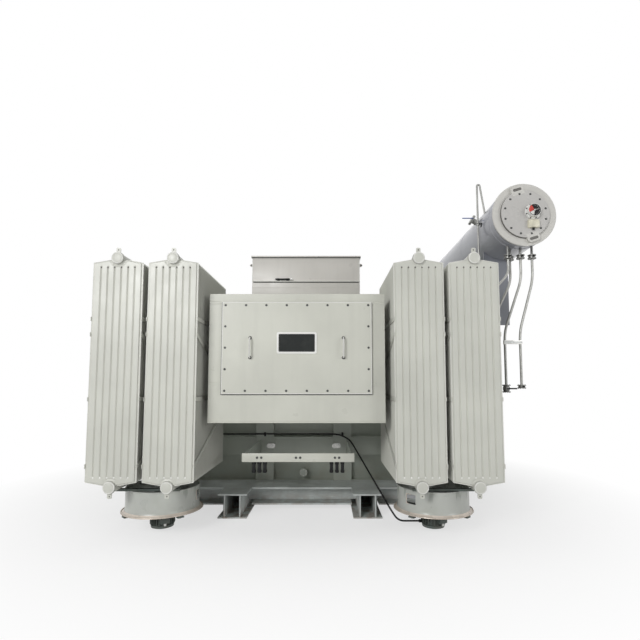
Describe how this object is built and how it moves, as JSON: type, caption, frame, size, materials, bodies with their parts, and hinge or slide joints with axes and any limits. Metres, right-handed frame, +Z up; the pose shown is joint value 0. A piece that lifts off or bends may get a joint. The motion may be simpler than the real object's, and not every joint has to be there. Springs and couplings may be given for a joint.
{
  "type": "oil-filled power transformer",
  "caption": "Oil-filled power transformer on skids with finned radiator banks, fans below them, a front cable box and a conservator on one side.",
  "frame": {"origin": "centre of the tank on the floor plane, midway between the two skids", "axes": "+X to the conservator, +Y from the cable box to the rear, +Z up"},
  "size_m": [5.025, 5.222, 4.046],
  "materials": {
    "tank_paint": "satin light grey paint",
    "radiator_paint": "semi gloss light grey paint",
    "box_paint": "smooth semi gloss light grey paint",
    "skid_steel": "worn grey paint with rust at the lower edges",
    "galvanised": "dull galvanised steel",
    "fan_steel": "light grey paint, bare at the mouth",
    "motor_paint": "dark grey paint",
    "blade_metal": "dull cast aluminium",
    "window_glass": "dark clear pane",
    "bright_steel": "polished steel",
    "black_plastic": "black moulded plastic",
    "gauge_black": "black lacquered dial housing",
    "cream_plastic": "cream moulded plastic",
    "pipe_steel": "grey painted pipe with bright joints",
    "conservator_paint": "glossy light grey paint"
  },
  "bodies": {
    "root": {"breather": "motor_paint", "breather_pipe": "pipe_steel", "cable_box_body": "box_paint", "cable_box_door": "box_paint", "cable_box_handles": "bright_steel", "cable_box_throat": "box_paint", "cable_box_window": "window_glass", "cable_cleats": "black_plastic", "cable_rail": "box_paint", "conservator_hatch": "conservator_paint", "conservator_rim": "conservator_paint", "conservator_shell": "conservator_paint", "conservator_support": "conservator_paint", "conservator_valves": "pipe_steel", "cross_beam_front": "skid_steel", "cross_beam_rear": "skid_steel", "drop_pipes": "pipe_steel", "drop_valves": "pipe_steel", "fan_arms": "galvanised", "fan_bars": "galvanised", "fan_cable": "black_plastic", "fan_cable_clips": "black_plastic", "fan_impellers_front": "blade_metal", "fan_impellers_rear": "blade_metal", "fan_motors_front": "motor_paint", "fan_motors_rear": "motor_paint", "fan_rings_front": "fan_steel", "fan_rings_rear": "fan_steel", "filler_stub": "pipe_steel", "gauge_terminal_box": "cream_plastic", "gland_plate": "galvanised", "lower_header_pipes_front": "radiator_paint", "lower_header_pipes_rear": "radiator_paint", "oil_gauge": "gauge_black", "pipe_clips": "galvanised", "radiator_front_1": "radiator_paint", "radiator_front_2": "radiator_paint", "radiator_front_3": "radiator_paint", "radiator_front_4": "radiator_paint", "radiator_rear_1": "radiator_paint", "radiator_rear_2": "radiator_paint", "radiator_rear_3": "radiator_paint", "radiator_rear_4": "radiator_paint", "radiator_ties_front": "radiator_paint", "radiator_ties_rear": "radiator_paint", "rail_brackets": "tank_paint", "relay_pipe": "tank_paint", "return_pipes": "pipe_steel", "skid_left": "skid_steel", "skid_right": "skid_steel", "tank_belts": "tank_paint", "tank_body": "tank_paint", "tank_cover": "tank_paint", "tank_fittings": "tank_paint", "tank_posts": "tank_paint", "top_box_body": "box_paint", "top_box_latch": "black_plastic", "top_box_lid": "box_paint", "upper_header_pipes_front": "radiator_paint", "upper_header_pipes_rear": "radiator_paint"}
  },
  "joints": []
}
